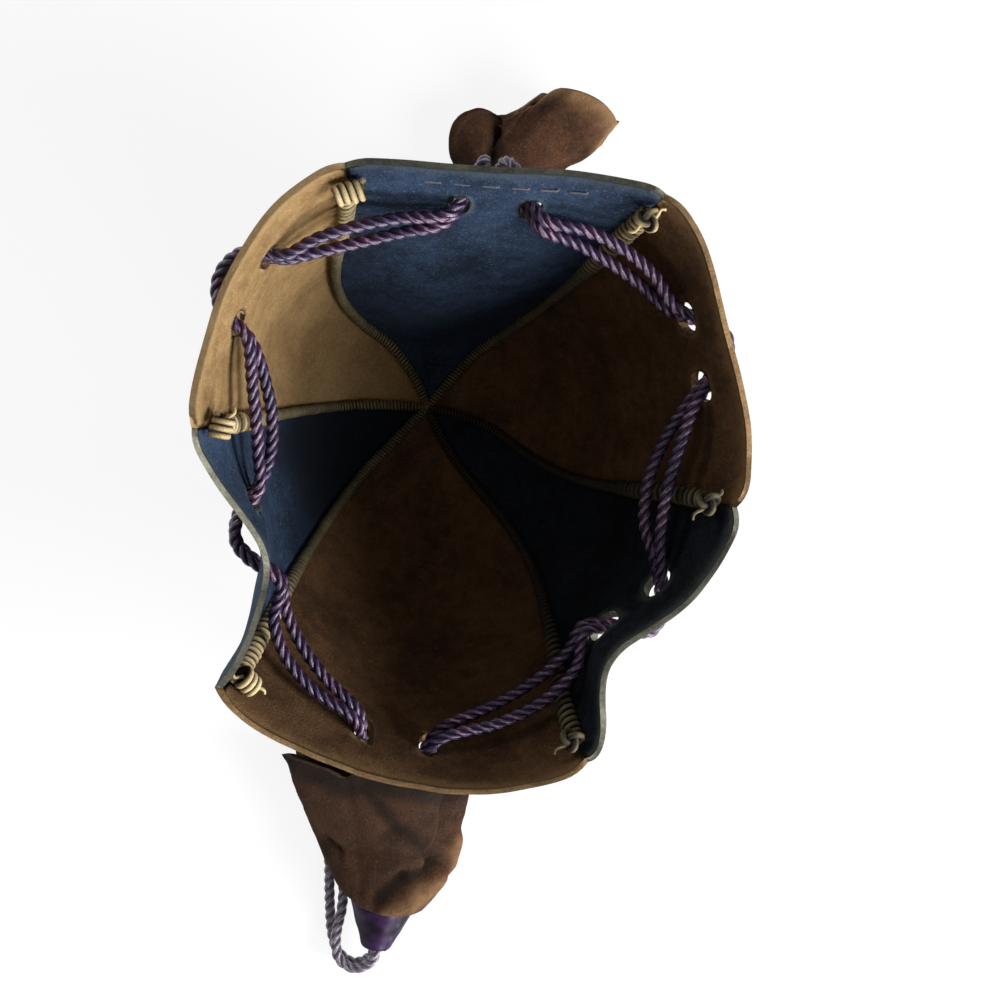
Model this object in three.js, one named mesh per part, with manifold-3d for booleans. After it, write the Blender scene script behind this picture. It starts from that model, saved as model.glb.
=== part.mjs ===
// A small drawstring coin purse: six petal-shaped suede panels, sewn edge to edge, that stand open on
// a slumped soft bottom, with two draw cords threaded round the mouth and a leather tassel on each.
// Millimetres, +Z up. The mouth is centred over the origin and the bottom rests on z = 0.
import * as THREE from 'three';
import { mergeVertices } from 'three/addons/utils/BufferGeometryUtils.js';
import Module from 'manifold-3d';

const wasm = await Module();
wasm.setup();

// Leather shell
const leather = 1.3; // thickness of the suede
const seamGap = 0.36; // between the edges of two panels
const clearance = 0.3; // between any two pieces that touch
const tipRadius = 0.9; // the panels' points stop this far from the middle of the bottom
const baseRadius = 12; // flat spot that the soft bottom slumps to
const baseRun = 12; // how far the bottom runs on beyond it before it turns up
const mouthRadius = 43; // from the middle of the bottom out to the rim
const cornerHeight = 56; // the rim at a seam
const wallLean = 8; // how far the wall leans out over its top stretch
const wallStretch = 20; // height of that stretch
const swayDelay = 1.3; // puts a seam's sideways bow above the middle of its reach
const rimPower = 2; // how fast the rim's waves die away down the wall
const dentPower = 5; // sharpness of a dent in the rim

// Slits, two to a panel, each with both cords through it
const slitSpacing = 10; // between the two slits of a panel
const slitDrop = 9.5; // middle of a slit below the rim, along the leather
const slitLength = 5; // along the rim
const slitRoundness = 0.45; // corner radius of a slit, as a share of its narrower side

// Draw cords
const cordDiameter = 2;
const cordGap = 0.5; // between the two cords, one above the other in a slit
const crossingOut = 2.6; // a cord leaves a slit this far before it bends
const crossingAlong = 1.4; // and leans over this far on the way
const crossingBow = 0.6; // and bows out this much more between two slits
const upperSpan = 5.5; // the upper cord cuts a corner this far inside the seam
const upperSag = 0.4; // and sags this far
const lowerSpan = 7; // the lower cord cuts the corner further in
const lowerSag = 1.2; // and sags more

// Oversewn seams
const threadRadius = 1; // half width of the whipped rib
const knotRadius = 1.9; // the tied-off end under the rim
const knotDrop = 5; // its middle below the rim
const threadStart = 2.7; // where the rib begins, from the middle of the bottom

// Tassels: a smooth leather cone, with a bell of suede petals in its mouth
const coneLength = 9;
const coneTipRadius = 2.6;
const coneMouthRadius = 5.4;
const coneBow = { along: 0.45, out: 0.6 }; // where the side bows out, in shares of length and flare
const coneWall = 1;
const socketDepth = 4; // how deep the petals sit in the cone
const neckRun = 0.6; // how far they come out of it before they open
const backPetalLength = 25.5;
const frontPetalLength = 28.5;
const petalReach = 13.5; // half width of the open bell
const petalThickness = 1.1;
const petalCount = 5;
const backNotch = 0.26; // cut between two petals, as a share of their length
const frontNotch = 0.08;
const flute = 0.2; // fold between two petals, as a share of the reach
const curlStart = 0.31; // share of the length after which a petal may curl back
const cordEndGap = 0.9; // from the end of a cord to the tip of its cone
const tailRoom = 6; // from the back cord's tail to the wall where it turns
const tailBend = 4.4; // tightest bend of a cord's tail
const backPitch = 2; // degrees by which the back tassel points up from where it lies on the ground
const frontPitch = 5; // and the front tassel
const frontLift = 1.2; // the front petals lie on their own cord, which holds the cone off the ground
const frontTipReach = 44.4; // from the front rim out to the front cone's tip
const frontTipAside = -1; // and sideways from the middle of the rim

// How finely the curved pieces are cut
const panelColumns = 10;
const baseRows = 2;
const wallRows = 7;
const tubeSides = 8;
const petalSteps = 6;
const petalColumns = 6;
const coneSides = 16;
const slitCornerSteps = 2;
const spanShares = [0.25, 0.5, 0.75]; // points along a cord where it cuts a corner

// Seams, anticlockwise: where each one meets the rim, how much further out than the mouth's radius that is,
// and how far the seam bows sideways on its way there
const seams = [
  { name: 'back_left', angle: 110, spread: -1.5, sway: 6.5 },
  { name: 'left', angle: 174, spread: -7.5, sway: 1.5 },
  { name: 'front_left', angle: 225, spread: 3.5, sway: 0 },
  { name: 'front_right', angle: 293, spread: 6, sway: 5 },
  { name: 'right', angle: 348, spread: -2, sway: -5 },
  { name: 'back_right', angle: 410, spread: 2.5, sway: -2 },
];

// Panels, each from the seam of its own row to the next: how it bellies out half way up, how its rim swells
// out, is dented in and sags, where the swell peaks (0 is the middle, more is sooner), and where the dent
// lies (1 is the middle, more is later)
const panels = [
  { name: 'back_left_tan_panel', dye: 'tan', belly: 3, swell: 6, peak: 0.3, dent: 0.6, skew: 1, sag: 1 },
  { name: 'front_left_blue_panel', dye: 'blue', belly: 3, swell: -6.5, peak: -0.5, dent: 2.6, skew: 1.05, sag: 4 },
  { name: 'front_tan_panel', dye: 'tan', belly: 6, swell: 8.5, peak: -0.1, dent: 0, skew: 1, sag: 3 },
  { name: 'front_right_blue_panel', dye: 'blue', belly: 3, swell: 1.8, peak: -0.9, dent: 5.4, skew: 0.64, sag: 3 },
  { name: 'back_right_tan_panel', dye: 'tan', belly: 3, swell: 5.2, peak: 0, dent: 1.6, skew: 1, sag: 1.5 },
  { name: 'back_blue_panel', dye: 'blue', belly: -3.5, swell: 1.2, peak: 0.5, dent: 0.2, skew: 1, sag: 1 },
];
const frontPanel = 2;
const backPanel = 5;

// Finishes
const leatherOf = (color) => new THREE.MeshStandardMaterial({ color, roughness: 0.95, metalness: 0 });
const finishes = {
  tan: leatherOf(0x7d6448),
  blue: leatherOf(0x26364b),
  brown: leatherOf(0x4f3728),
  purple: new THREE.MeshStandardMaterial({ color: 0x3a2440, roughness: 0.35, metalness: 0 }),
  cord: new THREE.MeshStandardMaterial({ color: 0x4b3a55, roughness: 0.6, metalness: 0 }),
  thread: new THREE.MeshStandardMaterial({ color: 0x8f7c5c, roughness: 0.8, metalness: 0 }),
};

// Joining and cutting closed solids
function solidOf(geometry) {
  const bare = geometry.clone();
  bare.deleteAttribute('normal');
  bare.deleteAttribute('uv');
  const merged = mergeVertices(bare, 1e-4);
  const vertProperties = new Float32Array(merged.attributes.position.array);
  const triVerts = new Uint32Array(merged.index.array);
  return new wasm.Manifold(new wasm.Mesh({ numProp: 3, vertProperties, triVerts }));
}

function geometryOf(solid) {
  const mesh = solid.getMesh();
  const geometry = new THREE.BufferGeometry();
  geometry.setAttribute('position', new THREE.BufferAttribute(mesh.vertProperties, 3));
  geometry.setIndex(new THREE.BufferAttribute(mesh.triVerts, 1));
  geometry.computeVertexNormals();
  return geometry;
}

function mapPoints(geometry, mapping) {
  const position = geometry.attributes.position;
  const point = new THREE.Vector3();
  for (let i = 0; i < position.count; i++) {
    point.copy(mapping(point.fromBufferAttribute(position, i)));
    position.setXYZ(i, point.x, point.y, point.z);
  }
  return geometry;
}

// The middle of the leather. Rows run from -1 at the bottom's middle, through 0 at the edge of the flat
// spot, to 1 at the rim.
function seamPoint(index, row) {
  const seam = seams[index % seams.length];
  const reach = mouthRadius + seam.spread;
  const wall = new THREE.CubicBezierCurve(
    new THREE.Vector2(baseRadius, 0),
    new THREE.Vector2(baseRadius + baseRun, 0),
    new THREE.Vector2(reach - wallLean, cornerHeight - wallStretch),
    new THREE.Vector2(reach, cornerHeight),
  );
  const flat = new THREE.Vector2(THREE.MathUtils.lerp(tipRadius, baseRadius, row + 1), 0);
  const profile = row < 0 ? flat : wall.getPoint(row);
  const bow = Math.sin(Math.PI * (profile.x / reach) ** swayDelay) ** 2;
  const point = new THREE.Vector3(profile.x, seam.sway * bow, profile.y + leather / 2);
  return point.applyAxisAngle(new THREE.Vector3(0, 0, 1), THREE.MathUtils.degToRad(seam.angle));
}

function panelPoint(index, across, row) {
  const panel = panels[index];
  const start = seamPoint(index, row);
  const end = seamPoint(index + 1, row);
  const chord = end.clone().sub(start);
  const outward = new THREE.Vector3(chord.y, -chord.x, 0).normalize();
  const rise = Math.max(row, 0);
  const archOver = (share) => 4 * share * (1 - share);
  const arch = archOver(across);
  const wave = rise ** rimPower;
  const dent = panel.dent * Math.sin(Math.PI * across ** panel.skew) ** dentPower;
  const rim = panel.swell * archOver(across + (panel.peak * arch) / 4) - dent;
  const bulge = panel.belly * arch * Math.sin(Math.PI * rise) + rim * wave;
  const point = start.addScaledVector(chord, across).addScaledVector(outward, bulge);
  point.z -= panel.sag * arch * wave;
  return point;
}

const probe = 1e-3; // step for slopes on the leather, as a share of a panel

function panelFrame(index, across, row) {
  if (row <= 0) {
    return { outside: new THREE.Vector3(0, 0, -1) };
  }
  const low = Math.min(row, 1 - probe);
  const left = Math.min(across, 1 - probe);
  const along = panelPoint(index, left + probe, row).sub(panelPoint(index, left, row)).normalize();
  const up = panelPoint(index, across, low + probe).sub(panelPoint(index, across, low)).normalize();
  const outside = along.clone().cross(up).normalize();
  return { along, outside };
}

// The direction in which a point moves away from both panels of a seam by the same distance
function seamMitre(index, row) {
  const last = (index + seams.length - 1) % seams.length;
  const before = panelFrame(last, 1, row).outside;
  const after = panelFrame(index % seams.length, 0, row).outside;
  return before.clone().add(after).divideScalar(1 + before.dot(after));
}

// How far to move in a parameter to cover a distance along the leather
const strideLength = 0.002;

function walk(pointAt, from, direction, distance) {
  let at = from;
  let here = pointAt(at);
  for (let covered = 0; covered < distance;) {
    at += direction * strideLength;
    const next = pointAt(at);
    covered += next.distanceTo(here);
    here = next;
  }
  return at;
}

// A place on the leather: along the rim from the middle of a panel, and down from the rim
function onPanel(index, along, drop) {
  const row = walk((at) => panelPoint(index, 0.5, at), 1, -1, drop);
  const across = walk((at) => panelPoint(index, at, row), 0.5, Math.sign(along), Math.abs(along));
  const point = panelPoint(index, across, row);
  return { point, ...panelFrame(index, across, row) };
}

// Panels
const mitreShare = 0.14; // share of a panel's width over which its offset turns into the mitre

function panelOffset(index, across, row) {
  const offset = panelFrame(index, across, row).outside.clone();
  const nearStart = Math.max(0, 1 - across / mitreShare);
  const nearEnd = Math.max(0, 1 - (1 - across) / mitreShare);
  offset.lerp(seamMitre(index, row), nearStart);
  offset.lerp(seamMitre(index + 1, row), nearEnd);
  return offset;
}

function slitCutter(index, along) {
  const height = 2 * cordDiameter + cordGap + 2 * clearance;
  const corner = Math.min(slitLength, height) * slitRoundness;
  const x = slitLength / 2;
  const y = height / 2;
  const outline = new THREE.Shape();
  outline.absarc(x - corner, y - corner, corner, 0, Math.PI / 2);
  outline.absarc(corner - x, y - corner, corner, Math.PI / 2, Math.PI);
  outline.absarc(corner - x, corner - y, corner, Math.PI, 1.5 * Math.PI);
  outline.absarc(x - corner, corner - y, corner, 1.5 * Math.PI, 2 * Math.PI);
  const depth = 4 * leather; // clear through the leather on both sides
  const settings = { depth, bevelEnabled: false, curveSegments: slitCornerSteps };
  const cutter = new THREE.ExtrudeGeometry(outline, settings);
  cutter.translate(0, 0, -depth / 2);
  const place = onPanel(index, along, slitDrop);
  const up = place.outside.clone().cross(place.along);
  const frame = new THREE.Matrix4().makeBasis(place.along, up, place.outside).setPosition(place.point);
  return solidOf(cutter.applyMatrix4(frame));
}

function panelGeometry(index) {
  const rows = baseRows + wallRows;
  const box = new THREE.BoxGeometry(1, 1, 1, panelColumns, 1, rows);
  mapPoints(box, ({ x, y, z }) => {
    const step = (z + 0.5) * rows - baseRows;
    const row = step < 0 ? step / baseRows : step / wallRows;
    const width = seamPoint(index, row).distanceTo(seamPoint(index + 1, row));
    const inset = seamGap / 2 / width;
    const across = THREE.MathUtils.lerp(inset, 1 - inset, x + 0.5);
    return panelPoint(index, across, row).addScaledVector(panelOffset(index, across, row), -y * leather);
  });
  let solid = solidOf(box);
  for (const side of [-1, 1]) {
    solid = solid.subtract(slitCutter(index, side * slitSpacing / 2));
  }
  return geometryOf(solid);
}

// Tubes whose rings stand exactly on the points of a route
class Route extends THREE.CatmullRomCurve3 {
  getPointAt(share, target) {
    return this.getPoint(share, target);
  }

  getTangentAt(share, target) {
    return this.getTangent(share, target);
  }
}

function tube(points, radius) {
  const corners = [];
  for (let side = 0; side < tubeSides; side++) {
    const turn = (2 * Math.PI * side) / tubeSides;
    corners.push(new THREE.Vector2(radius * Math.cos(turn), radius * Math.sin(turn)));
  }
  const section = new THREE.Shape(corners);
  const extrudePath = new Route(points);
  return new THREE.ExtrudeGeometry(section, { steps: points.length - 1, extrudePath, bevelEnabled: false });
}

// Seams: a whipped rib in the inner corner, tied off in a knot under the rim
function insideSeam(index, row, distance) {
  return seamPoint(index, row).addScaledVector(seamMitre(index, row), -(leather / 2 + distance));
}

function seamGeometry(index) {
  const knotRow = walk((at) => seamPoint(index, at), 1, -1, knotDrop);
  const startRow = (threadStart - tipRadius) / (baseRadius - tipRadius) - 1;
  const rows = [startRow, startRow / 2];
  for (let step = 0; step <= wallRows; step++) {
    rows.push((knotRow * step) / wallRows);
  }
  const rib = tube(rows.map((row) => insideSeam(index, row, clearance + threadRadius)), threadRadius);
  const knot = new THREE.SphereGeometry(knotRadius, tubeSides, tubeSides / 2);
  knot.translate(...insideSeam(index, knotRow, clearance + knotRadius));
  return geometryOf(solidOf(rib).add(solidOf(knot)));
}

// Tassels, modelled along +Y from the tip of the cone
function coneGeometry() {
  const profile = [
    [0, 0],
    [coneTipRadius, 0],
    [THREE.MathUtils.lerp(coneTipRadius, coneMouthRadius, coneBow.out), coneLength * coneBow.along],
    [coneMouthRadius, coneLength],
    [coneMouthRadius - coneWall, coneLength],
    [coneMouthRadius - coneWall, coneLength - socketDepth],
    [0, coneLength - socketDepth],
  ];
  return new THREE.LatheGeometry(profile.map(([x, y]) => new THREE.Vector2(x, y)), coneSides);
}

// A bell, notched between the petals, fluted, and squashed where it lies. Each petal may curl, by its own
// number of degrees: outwards, or inwards where that is below zero. The bell opens with a shoulder, the
// rounder the further that is below 1, and leans over to one side.
function petalsGeometry({ length, notch, turn, squash, curls, shoulder, lean }) {
  const { degToRad, lerp } = THREE.MathUtils;
  const root = coneLength - socketDepth + clearance;
  const neck = coneMouthRadius - coneWall - clearance - petalThickness / 2;
  const neckShare = (socketDepth + neckRun) / length / (1 - notch);
  const bellShare = (share) => Math.max(0, share - neckShare) / (1 - neckShare);
  const reachAt = (share) => lerp(neck, petalReach, bellShare(share));
  const shares = [0];
  for (let step = 0; step <= petalSteps; step++) {
    shares.push(lerp(neckShare, 1, step / petalSteps));
  }
  const face = (layer) => shares.map((share) => new THREE.Vector2(reachAt(share) + layer, share));
  const outer = face(petalThickness / 2);
  const inner = face(-petalThickness / 2).reverse();
  const bell = new THREE.LatheGeometry([...outer, ...inner, outer[0]], petalColumns * petalCount);
  const curlLength = (1 - curlStart) * length;
  const curlOf = (petal) => curls[THREE.MathUtils.euclideanModulo(petal, petalCount)];
  return mapPoints(bell, ({ x, y, z }) => {
    const angle = Math.atan2(x, z);
    const petalAngle = ((angle - degToRad(turn)) * petalCount) / (2 * Math.PI);
    const petal = Math.round(petalAngle);
    const aside = petalAngle - petal;
    const towardsNext = Math.max(0, 2 * Math.abs(aside) - 0.5); // half way at the notch
    const curl = lerp(curlOf(petal), curlOf(petal + Math.sign(aside)), towardsNext);
    const fold = Math.abs(Math.cos(Math.PI * petalAngle));
    const share = y * (1 - notch * (1 - Math.sqrt(fold)));
    const over = Math.max(0, share - curlStart) * length;
    const bend = (degToRad(curl) * over) / curlLength || probe;
    const layer = Math.hypot(x, z) - reachAt(y);
    const lift = (over * (1 - Math.cos(bend))) / bend + layer * Math.cos(bend);
    const back = over - (over * Math.sin(bend)) / bend + layer * Math.sin(bend);
    const opened = lerp(neck, petalReach, bellShare(y) ** shoulder);
    const reach = opened * (1 + flute * (fold - 0.5) * y) + lift;
    const flatten = lerp(1, squash, Math.min(1, 2 * y));
    const up = reach * flatten * Math.cos(angle);
    const across = reach * Math.sin(angle) + lean * bellShare(y);
    return new THREE.Vector3(across, root + share * length - back, up);
  });
}

// Where the tassels lie: the back one close under the rim, its petals pointing away from the purse; the
// front one further out, turned round so that its petals point back at the purse
function wallPoint(index, height) {
  let row = 0;
  while (panelPoint(index, 0.5, row).z < height) {
    row += strideLength;
  }
  const outward = panelFrame(index, 0.5, row).outside.setZ(0).normalize();
  return { point: panelPoint(index, 0.5, row), outward };
}

function tipHeight(pitch, lift) {
  const slope = THREE.MathUtils.degToRad(pitch);
  return lift + coneMouthRadius * Math.cos(slope) - coneLength * Math.sin(slope);
}

function backTip() {
  const height = tipHeight(backPitch, clearance);
  const { point, outward } = wallPoint(backPanel, height + tailBend);
  const room = leather / 2 + clearance + cordDiameter / 2 + tailBend + cordEndGap + tailRoom;
  return point.addScaledVector(outward, room).setZ(height);
}

function frontTip() {
  const rim = panelPoint(frontPanel, 0.5, 1);
  return new THREE.Vector3(rim.x + frontTipAside, rim.y - frontTipReach, tipHeight(frontPitch, frontLift));
}

const tassels = {
  back: {
    tip: backTip(),
    heading: -33,
    pitch: backPitch,
    length: backPetalLength,
    notch: backNotch,
    turn: 25,
    squash: 0.5,
    curls: [10, 10, -60, -150, -150],
    shoulder: 0.6,
    lean: 2.5,
  },
  front: {
    tip: frontTip(),
    heading: -9,
    pitch: frontPitch,
    length: frontPetalLength,
    notch: frontNotch,
    turn: 11,
    squash: 0.38,
    curls: [15, 0, 0, 0, 15],
    shoulder: 0.33,
    lean: -3.8,
  },
};

function tasselGroup(name, tassel) {
  const group = new THREE.Group();
  const { degToRad } = THREE.MathUtils;
  group.position.copy(tassel.tip);
  group.rotation.set(degToRad(tassel.pitch), 0, degToRad(tassel.heading), 'ZXY');
  group.add(named(`${name}_tassel_cone`, coneGeometry(), finishes.purple));
  group.add(named(`${name}_tassel_petals`, petalsGeometry(tassel), finishes.brown));
  return group;
}

// Draw cords: each one runs in and out of every slit and comes out again on its home panel, where its two
// tails go down together to its tassel
const pairSpacing = cordDiameter + cordGap;

function crossing(index, side, drop) {
  const { point, along, outside } = onPanel(index, (side * slitSpacing) / 2, drop);
  const step = outside.clone().multiplyScalar(crossingOut).addScaledVector(along, -side * crossingAlong);
  return { outer: point.clone().add(step), inner: point.clone().sub(step) };
}

function cornerSpan(index, from, to, { drop, span, sag }) {
  const row = walk((at) => seamPoint(index, at), 1, -1, drop);
  const bow = insideSeam(index, row, span).sub(from.clone().lerp(to, 0.5)).setZ(-sag);
  return spanShares.map((share) =>
    from.clone().lerp(to, share).addScaledVector(bow, 4 * share * (1 - share)));
}

// The back tails: down the outside of the wall, over the other cord, then round into the tip. Places on
// the panel are along the rim, down from it and out from the leather; places at the tip are back from it
// and up.
const backTailOnPanel = [[2.2, 8, 4.8], [1.35, 10.8, 6.2], [1.35, 16, 6], [1.35, 23, 5.4], [1.35, 31, 4.8],
  [1.35, 38, 4.2]];
const backTailAtTip = [[5.1, 5.5], [5, 3], [3.6, 0.9], [cordEndGap, 0]];

function backTail(side) {
  const points = backTailOnPanel.map(([along, drop, out]) => {
    const { point, outside } = onPanel(backPanel, side * along, drop);
    return point.addScaledVector(outside, out);
  });
  const { tip, heading } = tassels.back;
  const turn = THREE.MathUtils.degToRad(heading);
  for (const [behind, up] of backTailAtTip) {
    const point = new THREE.Vector3((-side * pairSpacing) / 2, -behind, up);
    points.push(point.applyAxisAngle(new THREE.Vector3(0, 0, 1), turn).add(tip));
  }
  return points;
}

// The front tails: down from the slits to the ground, out side by side under the petals, round a bend with
// one above the other, and back into the tip. Places on the ground are from the tip, with their height.
const frontTailOnPanel = [[1.6, 12.8, 4.6]];
const frontTailDown = [[0, 44.6, 33], [0, 44.8, 22], [0, 44.6, 12], [-0.5, 43.2, 5.2], [-1.7, 39.1, 1.8]];
const frontTailOut = [[-3.6, 33, 1.1], [-5.2, 26.4, 1.1], [-6.2, 19.6, 1.1]];
const lowerLoop = [[-7.5, 12.6, 1.1], [-7.5, 6, 1.1], [-7.2, 0.6, 1.15], [-6.1, -2.8, 1.5],
  [-3.7, -4.3, 2.4], [-1.2, -3.2, 3.5], [0, -cordEndGap, 4.55]];
const upperLoop = [[-5, 12.6, 1.2], [-5.4, 6, 2.2], [-6.6, 0.6, 3.5], [-6.1, -2.8, 4.1],
  [-3.7, -4.3, 4.9], [-1.2, -3.2, 6], [0, -cordEndGap, 7.05]];

function frontTail(side) {
  const points = frontTailOnPanel.map(([along, drop, out]) => {
    const { point, outside } = onPanel(frontPanel, side * along, drop);
    return point.addScaledVector(outside, out);
  });
  const { tip } = tassels.front;
  for (const [x, y, z] of [...frontTailDown, ...frontTailOut]) {
    points.push(new THREE.Vector3(tip.x + x + (side * pairSpacing) / 2, tip.y + y, z));
  }
  for (const [x, y, z] of side < 0 ? lowerLoop : upperLoop) {
    points.push(new THREE.Vector3(tip.x + x, tip.y + y, z));
  }
  return points;
}

function drawCord({ home, level, span, sag, tail }) {
  const drop = slitDrop - (level * pairSpacing) / 2;
  const points = tail(1).reverse();
  let last = crossing(home, 1, drop);
  points.push(last.outer, last.inner);
  for (let step = 1; step <= panels.length; step++) {
    const index = (home + step) % panels.length;
    const next = crossing(index, -1, drop);
    const corner = cornerSpan(index, last.inner, next.inner, { drop, span, sag });
    points.push(...corner, next.inner, next.outer);
    if (index !== home) {
      const between = onPanel(index, 0, drop);
      last = crossing(index, 1, drop);
      points.push(between.point.addScaledVector(between.outside, crossingOut + crossingBow));
      points.push(last.outer, last.inner);
    }
  }
  return tube([...points, ...tail(-1)], cordDiameter / 2);
}

const drawCords = {
  back_draw_cord: { home: backPanel, level: 1, span: upperSpan, sag: upperSag, tail: backTail },
  front_draw_cord: { home: frontPanel, level: -1, span: lowerSpan, sag: lowerSag, tail: frontTail },
};

// The purse
function named(name, geometry, material) {
  const mesh = new THREE.Mesh(geometry, material);
  mesh.name = name;
  return mesh;
}

const purse = new THREE.Group();
panels.forEach((panel, index) => {
  purse.add(named(panel.name, panelGeometry(index), finishes[panel.dye]));
});
seams.forEach((seam, index) => {
  purse.add(named(`${seam.name}_seam_thread`, seamGeometry(index), finishes.thread));
});
const middle = new THREE.Box3().setFromObject(purse).getCenter(new THREE.Vector3());
for (const [name, cord] of Object.entries(drawCords)) {
  purse.add(named(name, drawCord(cord), finishes.cord));
}
for (const [name, tassel] of Object.entries(tassels)) {
  purse.add(tasselGroup(name, tassel));
}
purse.position.set(-middle.x, -middle.y, 0);

export default purse;
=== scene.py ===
import math

import bmesh
import bpy
from mathutils import Euler, Matrix, Vector, noise


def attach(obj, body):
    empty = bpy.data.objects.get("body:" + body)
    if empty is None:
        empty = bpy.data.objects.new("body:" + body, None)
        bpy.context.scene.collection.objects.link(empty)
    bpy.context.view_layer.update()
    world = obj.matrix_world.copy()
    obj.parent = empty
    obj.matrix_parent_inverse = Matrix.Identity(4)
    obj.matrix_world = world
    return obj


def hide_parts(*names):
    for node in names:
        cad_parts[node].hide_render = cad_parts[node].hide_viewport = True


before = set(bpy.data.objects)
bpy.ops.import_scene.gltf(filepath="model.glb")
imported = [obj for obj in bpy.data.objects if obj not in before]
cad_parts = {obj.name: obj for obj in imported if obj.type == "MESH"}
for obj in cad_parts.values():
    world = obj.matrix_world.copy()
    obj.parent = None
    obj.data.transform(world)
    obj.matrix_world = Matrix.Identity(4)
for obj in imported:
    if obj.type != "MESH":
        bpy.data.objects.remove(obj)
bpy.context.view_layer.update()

mm = 0.001  # sizes below are in millimetres, and Blender's are in metres
body = "root"  # nothing on the purse is jointed


# Small helpers

def lerp(low, high, share):
    return low + (high - low) * share


def clamp(value, low=0.0, high=1.0):
    return max(low, min(high, value))


def smooth(low, high, value):
    share = clamp((value - low) / (high - low))
    return share * share * (3 - 2 * share)


def archOver(share):
    return 4 * share * (1 - share)


def bezier(share, a, b, c, d):
    rest = 1 - share
    return a * rest ** 3 + 3 * b * share * rest ** 2 + 3 * c * share ** 2 * rest + d * share ** 3


# The leather shell: the middle of the leather, as in the CAD model

shell = {
    "leather": 1.3,
    "clearance": 0.3,
    "tipRadius": 0.9,
    "baseRadius": 12,
    "baseRun": 12,
    "mouthRadius": 43,
    "cornerHeight": 56,
    "wallLean": 8,
    "wallStretch": 20,
    "swayDelay": 1.3,  # puts the seams' sway further out
    "rimPower": 2,
    "dentPower": 5,
    "mitreShare": 0.14,  # of a panel's width, where its faces turn to meet the next panel's
    "probe": 1e-3,  # the small step for slopes
    "stride": 0.002,  # and for walks along the leather
    "cadColumns": 10,  # the CAD panels' columns, which set where the shell's middle is
}
seams = [
    {"name": "back_left", "angle": 110, "spread": -1.5, "sway": 6.5},
    {"name": "left", "angle": 174, "spread": -7.5, "sway": 1.5},
    {"name": "front_left", "angle": 225, "spread": 3.5, "sway": 0},
    {"name": "front_right", "angle": 293, "spread": 6, "sway": 5},
    {"name": "right", "angle": 348, "spread": -2, "sway": -5},
    {"name": "back_right", "angle": 410, "spread": 2.5, "sway": -2},
]
panels = [
    {"name": "back_left_tan_panel", "belly": 3, "sag": 1,
     "swell": 6, "peak": 0.3, "dent": 0.6, "skew": 1},
    {"name": "front_left_blue_panel", "belly": 3, "sag": 4,
     "swell": -6.5, "peak": -0.5, "dent": 2.6, "skew": 1.05},
    {"name": "front_tan_panel", "belly": 6, "sag": 3,
     "swell": 8.5, "peak": -0.1, "dent": 0, "skew": 1},
    {"name": "front_right_blue_panel", "belly": 3, "sag": 3,
     "swell": 1.8, "peak": -0.9, "dent": 5.4, "skew": 0.64},
    {"name": "back_right_tan_panel", "belly": 3, "sag": 1.5,
     "swell": 5.2, "peak": 0, "dent": 1.6, "skew": 1},
    {"name": "back_blue_panel", "belly": -3.5, "sag": 1,
     "swell": 1.2, "peak": 0.5, "dent": 0.2, "skew": 1},
]
frontPanel = 2
backPanel = 5


# Rows run from -1 at the bottom's middle, through 0 at the edge of the flat spot, to 1 at the rim
def seamPoint(index, row):
    seam = seams[index % len(seams)]
    reach = shell["mouthRadius"] + seam["spread"]
    inner = shell["baseRadius"]
    top = shell["cornerHeight"]
    radius = lerp(shell["tipRadius"], inner, row + 1)
    height = 0
    if row >= 0:
        radius = bezier(row, inner, inner + shell["baseRun"], reach - shell["wallLean"], reach)
        height = bezier(row, 0, 0, top - shell["wallStretch"], top)
    bow = math.sin(math.pi * (radius / reach) ** shell["swayDelay"]) ** 2
    point = Vector((radius, seam["sway"] * bow, height + shell["leather"] / 2))
    return Matrix.Rotation(math.radians(seam["angle"]), 3, "Z") @ point


def panelPoint(index, across, row):
    panel = panels[index % len(panels)]
    start = seamPoint(index, row)
    chord = seamPoint(index + 1, row) - start
    outward = Vector((chord.y, -chord.x, 0)).normalized()
    rise = max(row, 0)
    arch = archOver(across)
    wave = rise ** shell["rimPower"]
    dent = panel["dent"] * math.sin(math.pi * across ** panel["skew"]) ** shell["dentPower"]
    rim = panel["swell"] * archOver(across + panel["peak"] * arch / 4) - dent
    bulge = panel["belly"] * arch * math.sin(math.pi * rise) + rim * wave
    point = start + chord * across + outward * bulge
    point.z -= panel["sag"] * arch * wave
    return point


def panelFrame(index, across, row):
    if row <= 0:
        return None, Vector((0, 0, -1))
    step = shell["probe"]
    low = min(row, 1 - step)
    left = min(across, 1 - step)
    along = (panelPoint(index, left + step, row) - panelPoint(index, left, row)).normalized()
    up = (panelPoint(index, across, low + step) - panelPoint(index, across, low)).normalized()
    return along, along.cross(up).normalized()


def seamMitre(index, row):
    before = panelFrame((index - 1) % len(seams), 1, row)[1]
    after = panelFrame(index % len(seams), 0, row)[1]
    return (before + after) / (1 + before.dot(after))


def insideSeam(index, row, distance):
    return seamPoint(index, row) - seamMitre(index, row) * (shell["leather"] / 2 + distance)


def panelOffset(index, across, row):
    share = shell["mitreShare"]
    offset = panelFrame(index, across, row)[1]
    offset = offset.lerp(seamMitre(index, row), max(0, 1 - across / share))
    return offset.lerp(seamMitre(index + 1, row), max(0, 1 - (1 - across) / share))


def walk(pointAt, start, direction, distance):
    at = start
    here = pointAt(at)
    covered = 0
    while covered < distance:
        at += direction * shell["stride"]
        after = pointAt(at)
        covered += (after - here).length
        here = after
    return at


def seamRow(index, drop):
    return walk(lambda at: seamPoint(index, at), 1, -1, drop)


def panelPlace(index, along, drop):
    row = walk(lambda at: panelPoint(index, 0.5, at), 1, -1, drop)
    across = walk(lambda at: panelPoint(index, at, row), 0.5, math.copysign(1, along), abs(along))
    return across, row


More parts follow.
